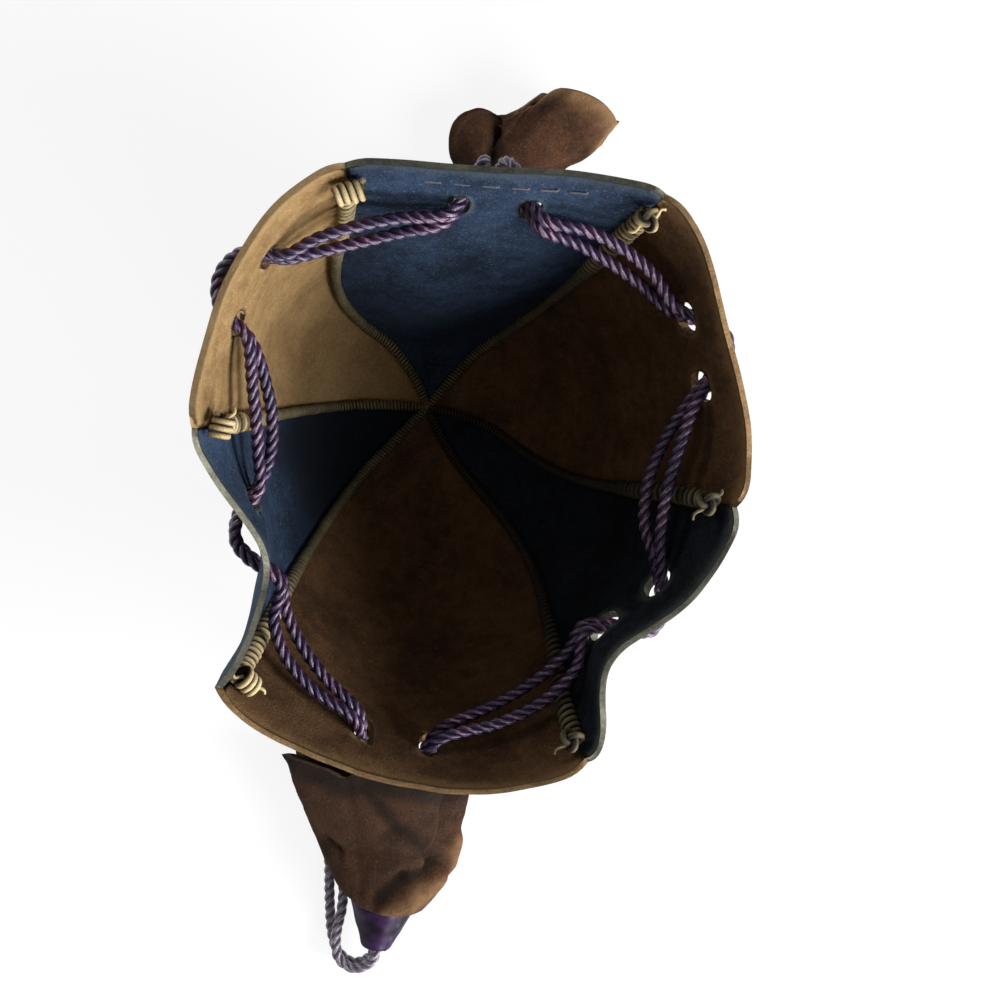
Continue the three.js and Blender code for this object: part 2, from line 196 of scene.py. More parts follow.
def onPanel(index, along, drop):
    across, row = panelPlace(index, along, drop)
    direction, outside = panelFrame(index, across, row)
    return panelPoint(index, across, row), direction, outside


def shellMiddle():
    edge = []
    for index in range(len(panels)):
        for column in range(shell["cadColumns"] + 1):
            across = column / shell["cadColumns"]
            half = panelOffset(index, across, 1) * shell["leather"] / 2
            edge += [panelPoint(index, across, 1) + half, panelPoint(index, across, 1) - half]
    spans = [(min(p[k] for p in edge) + max(p[k] for p in edge)) / 2 for k in range(2)]
    return Vector((*spans, 0))


middle = shellMiddle()
toFrame = Matrix.Scale(mm, 4) @ Matrix.Translation(-middle)  # from the shell's millimetres to the frame
print("shell middle", [round(value, 3) for value in middle])


# Shader maths: a socket that takes part in sums

class Wire:
    def __init__(self, tree, socket=None):
        self.tree = tree
        self.socket = socket

    def node(self, kind, settings=None, inputs=None, output=0):
        made = self.tree.nodes.new("ShaderNode" + kind)
        for key, value in (settings or {}).items():
            setattr(made, key, value)
        for key, value in (inputs or {}).items():
            if isinstance(value, Wire):
                self.tree.links.new(value.socket, made.inputs[key])
            else:
                made.inputs[key].default_value = value
        return Wire(self.tree, made.outputs[output] if made.outputs else None)

    def maths(self, operation, first, second):
        return self.node("Math", {"operation": operation}, {0: first, 1: second})

    def __add__(self, other):
        return self.maths("ADD", self, other)

    def __mul__(self, other):
        return self.maths("MULTIPLY", self, other)

    __radd__ = __add__
    __rmul__ = __mul__

    def between(self, low, high):  # 0 below low, 1 above high, smooth between
        settings = {"interpolation_type": "SMOOTHSTEP"}
        return self.node("MapRange", settings, {0: self, 1: low, 2: high})

    def mix(self, first, second):  # a colour, by this share
        return self.node("Mix", {"data_type": "RGBA"}, {0: self, 6: first, 7: second}, 2)

    def attribute(self, name):
        return self.node("Attribute", {"attribute_name": name}, output=2)

    def noise(self, place, scale, detail=3.0, roughness=0.55):
        inputs = {"Vector": place, "Scale": scale, "Detail": detail, "Roughness": roughness}
        return self.node("TexNoise", {}, inputs)

    def millimetres(self, stretch=(1, 1, 1)):
        place = self.node("TexCoord", output=3)
        scale = Vector(stretch) / mm
        return self.node("Mapping", {}, {"Vector": place, "Scale": scale})

    def bump(self, height, strength, distance):
        inputs = {"Height": height, "Strength": strength, "Distance": distance * mm}
        return self.node("Bump", {}, inputs)


def colour(red, green, blue):  # from 0-255 screen values
    linear = []
    for value in (red, green, blue):
        share = value / 255
        linear.append(share / 12.92 if share <= 0.04045 else ((share + 0.055) / 1.055) ** 2.4)
    return (*linear, 1)


def newMaterial(name):
    material = bpy.data.materials.new(name)
    material.use_nodes = True
    material.node_tree.nodes.clear()
    return material, Wire(material.node_tree)


def closeMaterial(material, wire, inputs):
    shader = wire.node("BsdfPrincipled", {}, inputs)
    wire.node("OutputMaterial", {}, {"Surface": shader})
    return material


# Finishes

suedes = {  # deep, pale, flecks and worn
    "tan": [(112, 86, 54), (152, 124, 84), (186, 158, 114), (150, 122, 84)],
    # a darker and browner copy of the tan suede, for the panels in shade: painted shade
    "shadedTan": [(56, 38, 24), (94, 68, 44), (122, 92, 62), (116, 90, 60)],
    "blue": [(18, 27, 42), (44, 61, 86), (98, 116, 140), (58, 68, 78)],
    # a darker copy of the blue suede, for the panel deep in shade: painted shade
    "shadedBlue": [(8, 10, 14), (30, 36, 46), (58, 66, 78), (70, 74, 72)],
    "petal": [(38, 23, 14), (76, 49, 31), (104, 74, 50), (124, 94, 66)],
}
rawEdges = {  # deep and pale
    "tan": [(136, 108, 72), (178, 150, 108)],
    # a darker copy of the tan raw edge, for the panels in shade: painted shade
    "shadedTan": [(92, 69, 45), (150, 121, 83)],
    "blue": [(50, 52, 50), (104, 100, 84)],
    # a lighter copy of the blue panels' raw edge, for the rims in the light: painted light
    "litBlue": [(92, 92, 80), (152, 150, 132)],
    "petal": [(70, 50, 36), (124, 94, 69)],
    # a darker copy of the petals' raw edge, for the front tassel: painted shade
    "paintedShade": [(34, 24, 17), (66, 48, 35)],
}
threads = {  # deep and pale
    "clean": [(158, 134, 92), (212, 192, 146)],
    # the thread's colours low in the purse, in painted shade
    "inShade": [(62, 55, 34), (108, 97, 65)],
    # a darker thread for the two seams in shade: painted shade
    "paintedShade": [(20, 16, 10), (44, 37, 25)],
    "stitch": [(58, 58, 70), (92, 86, 94)],
}


def suedeMaterial(name, dye):
    material, wire = newMaterial(name)
    deep, pale, speck, worn = [colour(*shade) for shade in dye]
    # half the deep colour, for painted shade
    shadedColour = colour(*[0.5 * value for value in dye[0]])
    place = wire.millimetres()
    wear, inside, shadeAndFade = [wire.attribute(key) for key in ("wear", "inside", "shadeAndFade")]
    cloud = wire.noise(place, 0.09, 4)
    patch = wire.noise(place, 0.45, 5, 0.6)
    nap = wire.noise(place, 2.4, 4, 0.7)
    hair = wire.noise(wire.millimetres((3.4, 3.4, 0.9)), 1.3, 3, 0.6)
    tone = (cloud * 0.9 + patch * 0.7 + nap * 0.4).between(0.72, 1.28)
    base = tone.mix(deep, pale)
    pore = wire.noise(place, 3.1, 2, 0.5)
    flecks = (nap.between(0.56, 0.72) + hair.between(0.6, 0.78) * 0.6) * 0.55
    flecked = flecks.mix(base, speck)
    pitted = (pore.between(0.46, 0.3) * 0.7).mix(flecked, deep)
    rubbed = (wear * (0.45 + patch * 0.9)).between(0.12, 0.85).mix(pitted, worn)
    # painted shade, in patches, where the attribute marks it
    finish = (shadeAndFade * (0.5 + patch * 0.8)).between(0.05, 0.95).mix(rubbed, shadedColour)
    height = nap * 0.7 + hair * 0.6 + patch * 0.8 + cloud
    return closeMaterial(material, wire, {
        "Base Color": finish,
        "Roughness": 0.78 + inside * 0.16,
        "Sheen Weight": 0.08,
        "Sheen Roughness": 0.6,
        "Sheen Tint": speck,
        "Specular IOR Level": 0.15,
        "Normal": wire.bump(height, 0.8, 0.35),
    })


def rawEdgeMaterial(name, deep, pale):
    material, wire = newMaterial(name)
    place = wire.millimetres()
    fibre = wire.noise(place, 2.8, 4, 0.7)
    stain = wire.noise(place, 0.3, 3)
    tone = (fibre * 0.8 + stain * 0.8).between(0.5, 1.1)
    return closeMaterial(material, wire, {
        "Base Color": tone.mix(colour(*deep), colour(*pale)),
        "Roughness": 0.9,
        "Specular IOR Level": 0.2,
        "Normal": wire.bump(fibre, 0.6, 0.2),
    })


def threadMaterial(name, clean, inShade):
    material, wire = newMaterial(name)
    place = wire.millimetres()
    grimeAndShade = wire.noise(place, 0.16, 4, 0.6)
    strand = wire.noise(place, 3.2, 3, 0.6)
    tone = (grimeAndShade * 0.9 + strand * 0.7).between(0.55, 1.1)
    upperTone, shadedColour = [tone.mix(*[colour(*shade) for shade in pair]) for pair in (clean, inShade)]
    # painted shade: darker low in the purse
    wound = wire.attribute("shadeAndFade").mix(upperTone, shadedColour)
    return closeMaterial(material, wire, {
        # painted shade in the grooves between turns
        "Base Color": wire.attribute("crownLight").mix(colour(34, 27, 16), wound),
        "Roughness": 0.62,
        "Specular IOR Level": 0.35,
        "Normal": wire.bump(strand, 0.5, 0.12),
    })


def silkMaterial():
    material, wire = newMaterial("twistedSilk")
    place = wire.millimetres()
    blotch = wire.noise(place, 0.2, 3)
    fibre = wire.noise(place, 4.5, 4, 0.7)
    crownLight = wire.attribute("crownLight")
    # painted highlights on the plies' crowns, painted shade in the grooves between them
    lift = (crownLight * 0.95 + fibre * 0.3 + blotch * 0.25).between(0.98, 1.3)
    shade = blotch.between(0.4, 0.6).mix(colour(28, 11, 46), colour(46, 16, 50))
    light = blotch.between(0.42, 0.62).mix(colour(112, 88, 138), colour(156, 122, 150))
    faded = lift.mix(colour(88, 78, 94), colour(168, 160, 168))
    return closeMaterial(material, wire, {
        "Base Color": wire.attribute("shadeAndFade").mix(lift.mix(shade, light), faded),
        "Roughness": 0.36,
        "Specular IOR Level": 0.7,
        "Normal": wire.bump(fibre, 0.5, 0.12),
    })


def coneMaterial():
    material, wire = newMaterial("smoothPurple")
    place = wire.millimetres()
    cloud = wire.noise(place, 0.25, 3)
    grain = wire.noise(place, 1.6, 4, 0.6)
    wear = wire.attribute("wear")
    tone = cloud.between(0.35, 0.65).mix(colour(18, 9, 25), colour(44, 24, 58))
    rubbed = (wear * (0.3 + grain)).between(0.25, 0.95)
    return closeMaterial(material, wire, {
        "Base Color": rubbed.mix(tone, colour(68, 46, 66)),
        "Roughness": 0.38 + grain * 0.15,
        "IOR": 1.18,
        "Coat Weight": 0.04,
        "Coat Roughness": 0.2,
        "Normal": wire.bump(grain, 0.1, 0.15),
    })


finishes = {name: suedeMaterial(name + "Suede", dye) for name, dye in suedes.items()}
for name, pair in rawEdges.items():
    finishes[name + "Edge"] = rawEdgeMaterial(name + "RawEdge", *pair)
finishes |= {
    "thread": threadMaterial("sewingThread", threads["clean"], threads["inShade"]),
    "shadedThread": threadMaterial("shadedThread", threads["inShade"], threads["paintedShade"]),
    "stitch": threadMaterial("stitchThread", threads["stitch"], threads["stitch"]),
    "silk": silkMaterial(),
    "cone": coneMaterial(),
}
print("finishes", len(finishes))


# Making pieces

def newPiece(name, mesh, slot, *materials, node=None):
    for material in materials:
        mesh.materials.append(material)
    piece = bpy.data.objects.new(name, mesh)
    bpy.context.scene.collection.objects.link(piece)
    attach(piece, body)
    if node:
        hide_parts(node)
    return piece


def meshOf(name, bm):
    bmesh.ops.recalc_face_normals(bm, faces=bm.faces[:])
    for face in bm.faces:
        face.smooth = True
    bmesh.ops.transform(bm, matrix=toFrame, verts=bm.verts[:])
    mesh = bpy.data.meshes.new(name)
    bm.to_mesh(mesh)
    bm.free()
    return mesh


def newLayers(bm, *names):
    return [bm.verts.layers.float.new(name) for name in names]


def thicken(bm):  # adds a sheet's second side and marks its cut edges; returns the lower side's height
    bmesh.ops.solidify(bm, geom=bm.faces[:], thickness=1)
    bm.normal_update()
    for face in bm.faces:
        face.material_index = 1 if abs(face.normal.z) < 0.5 else 0
    return min(vert.co.z for vert in bm.verts)


def roundEdges(bm, offset, segments):  # where a cut edge meets a side
    edges = [edge for edge in bm.edges if len({face.material_index for face in edge.link_faces}) == 2]
    bmesh.ops.bevel(bm, geom=edges, offset=offset, offset_type="OFFSET", segments=segments, profile=0.5,
                    affect="EDGES", material=-1, clamp_overlap=True)


tubeMake = {
    "resolution": 2,
    "weld": 1e-7,  # metres
}


def strand(points, radius, core=None, tip=None):  # core: what the strand is wound round
    count = len(points)
    radii = radius
    if not isinstance(radius, list):
        radii = [lerp(radius, tip or radius, k / (count - 1)) for k in range(count)]
    return {"points": points, "radii": radii, "core": core}


def tubeMesh(name, strands, shadeAndFadeAt=None, crest=None):
    curve = bpy.data.curves.new(name, "CURVE")
    curve.dimensions = "3D"
    curve.bevel_depth = mm
    curve.bevel_resolution = tubeMake["resolution"]
    curve.use_fill_caps = True
    for line in strands:
        spline = curve.splines.new("POLY")
        spline.points.add(len(line["points"]) - 1)
        for knot, place, radius in zip(spline.points, line["points"], line["radii"]):
            knot.co = (*(toFrame @ place), 1)
            knot.radius = radius
    holder = bpy.data.objects.new(name, curve)
    mesh = bpy.data.meshes.new_from_object(holder)
    bpy.data.objects.remove(holder)
    bpy.data.curves.remove(curve)
    mesh.name = name
    mesh.materials.clear()
    for face in mesh.polygons:
        face.use_smooth = True
    crownLight = mesh.attributes.new("crownLight", "FLOAT", "POINT")  # 1 on the outside of what is wound; lower values paint shade into the grooves, and on the cords the top values paint highlights
    shadeAndFade = mesh.attributes.new("shadeAndFade", "FLOAT", "POINT")
    around = len(mesh.vertices) // sum(len(line["points"]) + 2 for line in strands)
    at = 2 * around * len(strands)  # the caps' corners come first
    for vert in mesh.vertices[:at]:
        crownLight.data[vert.index].value = 1
        shadeAndFade.data[vert.index].value = shadeAndFadeAt(vert.co) if shadeAndFadeAt else 0
    for line in strands:
        for k, place in enumerate(line["points"]):
            outward = (place - line["core"][k]).normalized() if line["core"] else Vector()
            for vert in mesh.vertices[at:at + around]:
                away = (vert.co - toFrame @ place).dot(outward) / line["radii"][k] / mm
                crownLight.data[vert.index].value = smooth(*crest, away) if line["core"] else 1
                shadeAndFade.data[vert.index].value = shadeAndFadeAt(vert.co) if shadeAndFadeAt else 0
            at += around
    bm = bmesh.new()
    bm.from_mesh(mesh)
    bmesh.ops.remove_doubles(bm, verts=bm.verts[:], dist=tubeMake["weld"])  # joins the caps
    bm.to_mesh(mesh)
    bm.free()
    return mesh


# Panels

panelMake = {
    "columns": 64,
    "baseRows": 12,
    "wallRows": 80,
    "slitSpacing": 10,
    "slitDrop": 9.5,
    "slitLengths": [3.7, 3.7, 2.8, 5, 4.6, 3.1],
    "slitHeight": 5.1,
    "slitPower": 2.6,  # roundness of a slit, 2 is an ellipse
    "edgeRound": 0.5,
    "edgeSegments": 3,
    "cornerDrop": 1.9,  # how far a panel's rim is rounded down at a seam
    "cornerRun": 3.8,
    "cornerPower": 2.2,
    "cornerRows": (0.78, 1),
    "grimeAndShade": [0.45, 1, 0, 0, 0, 0.4],  # painted shade: how much darker the inside of each panel is made low in the purse
    "shadeRows": (0.68, 0.26),
    "rimThin": 0.66,  # the leather's thickness at the rim, as a share
    "thinRows": (0.92, 1),
    "ripple": 0.5,  # unevenness of the hide
    "rippleScale": 0.085,
    "rippleShift": 7.3,  # makes each panel's ripple another
    "rippleRise": 12,  # how soon it grows from a seam
    "rippleRows": (0.1, 0.5),
    "rimRagged": 0.5,  # unevenness of the cut rim
    "rimScale": 0.2,
    "raggedRows": (0.9, 1),
    "rimWear": 1.6,  # how far down the rim is rubbed
    "wallRun": 1.15,  # length of a wall, as a share of its height
    "slitWear": 0.9,
    "seamGap": 0.01,
}
# panels 2 and 4 take the darker copy of the tan suede and panel 3 the darker copy of the blue: painted
# shade
panelFinish = ["tan", "blue", "shadedTan", "shadedBlue", "shadedTan", "blue"]
# panels 1 and 3 take the lighter copy of the blue raw edge: painted light
panelEdge = ["tanEdge", "litBlueEdge", "shadedTanEdge", "litBlueEdge", "shadedTanEdge", "blueEdge"]
panelSlot = ["tan_suede", "blue_suede", "tan_suede", "blue_suede", "tan_suede", "blue_suede"]


def gridRow(y):
    step = y * (panelMake["baseRows"] + panelMake["wallRows"]) - panelMake["baseRows"]
    return step / panelMake["baseRows"] if step < 0 else step / panelMake["wallRows"]


def gridAcross(index, x, row):
    inset = panelMake["seamGap"] / 2 / (seamPoint(index, row) - seamPoint(index + 1, row)).length
    return lerp(inset, 1 - inset, x)


def gridPoint(index, x, y):
    row = gridRow(y)
    return panelPoint(index, gridAcross(index, x, row), row)


def slitReach(index, side):
    across, row = panelPlace(index, side * panelMake["slitSpacing"] / 2, panelMake["slitDrop"])
    along, outside = panelFrame(index, across, row)
    up = outside.cross(along)
    x = (across - gridAcross(index, 0, row)) / (1 - 2 * gridAcross(index, 0, row))
    rows = panelMake["baseRows"] + panelMake["wallRows"]
    y = (row * panelMake["wallRows"] + panelMake["baseRows"]) / rows
    step = shell["probe"]
    perX = (gridPoint(index, x + step, y) - gridPoint(index, x - step, y)) / (2 * step)
    perY = (gridPoint(index, x, y + step) - gridPoint(index, x, y - step)) / (2 * step)
    centre = Vector((x, y, 0))
    power = panelMake["slitPower"]

    def reach(place):  # 1 on the slit's outline
        away = perX * (place.x - x) + perY * (place.y - y)
        wide = abs(away.dot(along)) / (panelMake["slitLengths"][index] / 2)
        tall = abs(away.dot(up)) / (panelMake["slitHeight"] / 2)
        return max((wide ** power + tall ** power) ** (1 / power), 1e-6)

    return centre, reach


def cutSlit(bm, centre, reach):
    doomed = [face for face in bm.faces if reach(face.calc_center_median()) < 1]
    inside = set(doomed)
    ring = {vert for face in doomed for vert in face.verts}
    ring = [vert for vert in ring if any(face not in inside for face in vert.link_faces)]
    bmesh.ops.delete(bm, geom=doomed, context="FACES")
    for vert in ring:
        vert.co = centre + (vert.co - centre) / reach(vert.co)


def roundedRow(index, x, row):  # the rim goes down at a panel's corners
    width = (seamPoint(index, 1) - seamPoint(index + 1, 1)).length
    near = max(0, 1 - min(x, 1 - x) * width / panelMake["cornerRun"])
    perRow = (seamPoint(index, 1) - seamPoint(index, 1 - shell["probe"])).length / shell["probe"]
    drop = panelMake["cornerDrop"] / perRow * near ** panelMake["cornerPower"]
    return row - drop * smooth(*panelMake["cornerRows"], row)


def ripple(point, index, across, row):
    arch = clamp(panelMake["rippleRise"] * across * (1 - across))
    window = arch * smooth(*panelMake["rippleRows"], row)
    place = point * panelMake["rippleScale"] + Vector((index * panelMake["rippleShift"], 0, 0))
    return panelMake["ripple"] * window * noise.noise(place)


def ragged(point, row):
    place = point * panelMake["rimScale"]
    return panelMake["rimRagged"] * smooth(*panelMake["raggedRows"], row) * noise.noise(place)


def makePanel(index):
    rows = panelMake["baseRows"] + panelMake["wallRows"]
    bm = bmesh.new()
    wear, inside, shadeAndFade = newLayers(bm, "wear", "inside", "shadeAndFade")
    bmesh.ops.create_grid(bm, x_segments=panelMake["columns"], y_segments=rows, size=0.5)
    bmesh.ops.translate(bm, verts=bm.verts[:], vec=(0.5, 0.5, 0))
    slits = [slitReach(index, side) for side in (-1, 1)]
    for centre, reach in slits:
        cutSlit(bm, centre, reach)
    low = thicken(bm)
    for vert in bm.verts:
        layer = vert.co.z - low  # 0 is the inside of the purse, 1 the outside
        height = gridRow(vert.co.y)
        row = roundedRow(index, vert.co.x, height)
        across = gridAcross(index, vert.co.x, row)
        drop = (1 - vert.co.y) * shell["cornerHeight"] * panelMake["wallRun"]
        lips = min(reach(vert.co) for centre, reach in slits) - 1
        rubbed = math.exp(-drop / panelMake["rimWear"])
        lipped = math.exp(-max(0, lips) * panelMake["slitHeight"] / 2 / panelMake["slitWear"])
        vert[wear] = max(rubbed, lipped)
        vert[inside] = 1 - layer
        # painted shade on the inside, low in the purse
        vert[shadeAndFade] = panelMake["grimeAndShade"][index] * (1 - layer) * smooth(*panelMake["shadeRows"], row)
        point = panelPoint(index, across, row)
        offset = panelOffset(index, across, row)
        thick = shell["leather"] * lerp(1, panelMake["rimThin"], smooth(*panelMake["thinRows"], height))
        lift = (layer - 0.5) * thick + ripple(point, index, across, row)
        vert.co = point + offset * lift + Vector((0, 0, ragged(point, height)))
    roundEdges(bm, panelMake["edgeRound"], panelMake["edgeSegments"])
    name = panels[index]["name"]
    dye = finishes[panelFinish[index]]
    edge = finishes[panelEdge[index]]
    newPiece(name + "_hide", meshOf(name, bm), panelSlot[index], dye, edge, node=name)


for index in range(len(panels)):
    makePanel(index)
print("panels", len(panels))


# Seams: thread whipped over the two edges, tied off in a bundle under the rim

seamMake = {
    "start": 0.15,  # from the middle of the bottom, where the whipping is narrow
    "narrow": 0.6,
    "fullWidth": 3.2,  # from the middle to where it is no longer narrow
    "top": 5.2,  # where the whipping ends, below the rim
    "rise": (16, 38),  # heights between which it grows from its lower to its upper size
    "halfWidth": (0.6, 1.0),
    "halfHeight": (0.5, 0.6),
    "thread": (0.25, 0.46),
    "pitch": (0.56, 1.36),
    "step": 0.056,
    "rowSteps": (4, 24),  # places on its middle line, on the flat spot and up the wall
    "loose": [(0.16, 0.8), (0.1, 2.7)],  # how uneven its turns are, and how often
    "endRun": 8,  # steps that give the direction of its end
    "threadShadeRows": (0.8, 0.45),  # painted shade: the thread is darker low in the purse
    "crest": (0.3, 0.95),  # how much of the thread is in painted groove shade, from its side to the top of a turn
    "finish": ["thread", "thread", "thread", "shadedThread", "shadedThread", "thread"],
    "sink": 0.12,  # how far the whipping sits into the corner
    "coil": (0.0, 1.3),  # a flat coil of thread, where all six meet
    "coilTurns": 3,
    "coilSteps": 16,  # to a turn
    "coilHeight": 1.55,
}
knotMake = {
    "turns": [4, 3, 3, 0, 0, 0],  # of a bundle; 0 is an overhand knot
    "tilts": [0.12, -0.35, 0.5, 0.3, -0.4, 0.8],
    "turnSteps": 16,
    "turnPitch": 0.98,
    "turnRadius": 1.15,
    "uneven": (0.2, 0.9),  # how much the turns differ, and how often
    "row": 0.9,  # of the seam, where the knot's directions are taken
    "facing": (0.85, 0.5),  # its flat side looks up and into the mouth
    "size": 0.48,
    "thread": 0.48,
    "thick": 0.55,  # how far an overhand knot's turns lie over each other
    "steps": 60,
    "above": 1.3,  # the knot's middle, beyond the end of the whipping
    "proud": 1.4,
    "ends": [(2.4, -1.3, 0.7), (1.8, 1.3, 0.4)],  # loose ends: sideways, along the seam, into the purse
    "endLeans": [[], [1], [-1, 1], [1], [1, -1], [-1, 1]],  # the side to which each goes
    "endBend": (0.6, 0.7, 1),  # its bend and its tip, as shares of its reach
    "endStop": (1, 0.4, 0.5),
    "endStep": 0.3,
    "endThread": 0.3,
    "endTip": 0.2,
}


def curvePoint(a, b, c, d, share):  # between b and c, on a curve through all four
    before = math.sqrt((b - a).length)
    span = math.sqrt((c - b).length)
    after = math.sqrt((d - c).length)
    leave = ((b - a) / before - (c - a) / (before + span) + (c - b) / span) * span
    arrive = ((c - b) / span - (d - b) / (span + after) + (d - c) / after) * span
    square = share ** 2
    cube = share ** 3
    ends = b * (2 * cube - 3 * square + 1) + c * (3 * square - 2 * cube)
    return ends + leave * (cube - 2 * square + share) + arrive * (cube - square)


def smoothLine(points, step):  # evenly spaced places on a smooth line through the points
    run = [points[0] * 2 - points[1], *points, points[-1] * 2 - points[-2]]
    fine = []
    for a, b, c, d in zip(run, run[1:], run[2:], run[3:]):
        count = max(2, math.ceil(4 * (c - b).length / step))
        fine += [curvePoint(a, b, c, d, part / count) for part in range(count)]
    fine.append(points[-1].copy())
    places = [fine[0]]
    need = step
    for a, b in zip(fine, fine[1:]):
        length = (b - a).length
        at = 0.0
        while length - at >= need:
            at += need
            places.append(a.lerp(b, at / length))
            need = step
        need -= length - at
    return places


def carriedFrames(line, first):  # a direction carried along a line without twist, and its cross
    frames = []
    side = first
    for k, place in enumerate(line):
        tangent = (line[min(k + 1, len(line) - 1)] - line[max(k - 1, 0)]).normalized()
        side = (side - tangent * side.dot(tangent)).normalized()
        frames.append((place, side, tangent.cross(side)))
    return frames


def grown(key, height):  # a size of the whipping, at a height
    return lerp(*seamMake[key], smooth(*seamMake["rise"], height))


def whipping(index):
    top = seamRow(index, seamMake["top"])
    start = (seamMake["start"] - shell["tipRadius"]) / (shell["baseRadius"] - shell["tipRadius"]) - 1
    flat, wall = seamMake["rowSteps"]
    rows = [lerp(start, 0, k / flat) for k in range(flat)] + [top * k / wall for k in range(wall + 1)]
    run = []
    for row in rows:
        height = seamPoint(index, row).z
        sit = grown("halfHeight", height) + grown("thread", height) - seamMake["sink"]
        run.append(insideSeam(index, row, sit))
    spine = smoothLine(run, seamMake["step"])
    into = -seamMitre(index, 0.5)
    line = []
    turn = 0
    for place, side, lift in carriedFrames(spine, into.cross(Vector((0, 0, 1)))):
        loose = 1
        for size, often in seamMake["loose"]:
            loose += size * noise.noise(place * often)
        loose *= lerp(seamMake["narrow"], 1, smooth(0, seamMake["fullWidth"], place.xy.length))
        wide = side * math.cos(turn) * grown("halfWidth", place.z)
        high = lift * math.sin(turn) * grown("halfHeight", place.z)
        line.append(place + (wide + high) * loose)
        turn += 2 * math.pi * seamMake["step"] / grown("pitch", place.z)
    radii = [grown("thread", place.z) for place in spine]
    return strand(line, radii, spine), (spine[-1] - spine[-seamMake["endRun"]]).normalized()


def bundle(turns, middle, axis, up, out):  # turns laid side by side
    steps = knotMake["turnSteps"]
    size, often = knotMake["uneven"]
    core = []
    tie = []
    for k in range(turns * steps + 1):
        turn = 2 * math.pi * k / steps
        place = middle + axis * (k / steps - turns / 2) * knotMake["turnPitch"]
        reach = knotMake["turnRadius"] * (1 + size * noise.noise(place * often))
        core.append(place)
        tie.append(place + (up * math.cos(turn) + out * math.sin(turn)) * reach)
    return strand(tie, knotMake["thread"], core)


def overhand(middle, axis, up, out):  # a trefoil
    size = knotMake["size"]
    tie = []
    for k in range(knotMake["steps"] + 1):
        turn = 2 * math.pi * k / knotMake["steps"]
        wide = size * (math.sin(turn) + 2 * math.sin(2 * turn))
        high = size * (math.cos(turn) - 2 * math.cos(2 * turn))
        deep = -knotMake["thick"] * math.sin(3 * turn)
        tie.append(middle + axis * wide + up * high + out * deep)
    return strand(tie, knotMake["thread"], [middle] * len(tie))


def knotStrands(index, end, along):  # the knot and its loose ends
    into = -seamMitre(index, knotMake["row"])
    into = (into - along * into.dot(along)).normalized()
    side = along.cross(into)
    middle = end + along * knotMake["above"] + into * knotMake["proud"]
    upward, inward = knotMake["facing"]
    out = (along * upward + into * inward).normalized()
    turned = Matrix.Rotation(knotMake["tilts"][index], 3, out)
    axis = turned @ side
    up = out.cross(axis)
    turns = knotMake["turns"][index]
    strands = [bundle(turns, middle, axis, up, out) if turns else overhand(middle, axis, up, out)]
    for lean, (wide, high, far) in zip(knotMake["endLeans"][index], knotMake["ends"]):
        run = [middle + axis * lean * 2 * knotMake["size"]]
        for x, y, z in (knotMake["endBend"], knotMake["endStop"]):
            run.append(run[0] + axis * lean * wide * x + up * high * y + out * far * z)
        line = smoothLine(run, knotMake["endStep"])
        strands.append(strand(line, knotMake["endThread"], tip=knotMake["endTip"]))
    return strands


def centreCoil():
    line = []
    steps = seamMake["coilSteps"] * seamMake["coilTurns"]
    for k in range(steps + 1):
        turn = 2 * math.pi * seamMake["coilTurns"] * k / steps
        reach = lerp(*seamMake["coil"], k / steps)
        line.append(Vector((reach * math.cos(turn), reach * math.sin(turn), seamMake["coilHeight"])))
    return strand(line, seamMake["thread"][0])


def makeSeam(index):
    wound, along = whipping(index)
    strands = [wound] + knotStrands(index, wound["core"][-1], along)
    if index == 0:
        strands.append(centreCoil())
    name = seams[index]["name"] + "_seam_thread"
    finish = finishes[seamMake["finish"][index]]
    rim = shell["cornerHeight"] * mm
    clean, inShade = [share * rim for share in seamMake["threadShadeRows"]]

    # painted shade, growing down the purse
    def shadeAndFadeAt(place):
        return smooth(clean, inShade, place.z)

    mesh = tubeMesh(name, strands, shadeAndFadeAt, seamMake["crest"])
    newPiece(name + "_whipping", mesh, "sewing_thread", finish, node=name)


for index in range(len(seams)):
    makeSeam(index)
print("seams", len(seams))


# A row of running stitch under the rim of the back panel

stitchMake = {
    "first": -11.5,  # along the rim from the panel's middle
    "pitch": 3.95,
    "length": 2.8,
    "count": 6,
    "drop": 3.5,
    "thread": 0.2,
    "shares": (0, 0.12, 0.3, 0.5, 0.7, 0.88, 1),  # places along a stitch
    "proud": 0.04,  # how far a stitch stands off the leather
    "ends": -0.4,  # its ends go into the leather
}


def stitchLine(first):
    line = []
    for share in stitchMake["shares"]:
        along = first + stitchMake["length"] * share
        point, _, outside = onPanel(backPanel, along, stitchMake["drop"])
        lift = stitchMake["proud"] if 0 < share < 1 else stitchMake["ends"]
        line.append(point - outside * (shell["leather"] / 2 + lift))
    return line


def makeStitches():
    starts = [stitchMake["first"] + stitchMake["pitch"] * k for k in range(stitchMake["count"])]
    step = stitchMake["thread"]
    lines = [strand(smoothLine(stitchLine(first), step), stitchMake["thread"]) for first in starts]
    newPiece("rim_stitches", tubeMesh("rim_stitches", lines), "sewing_thread", finishes["stitch"])


makeStitches()
print("stitches", stitchMake["count"])


# Tassels: each a cone with a bell of petals in its mouth, lying where the CAD model has it

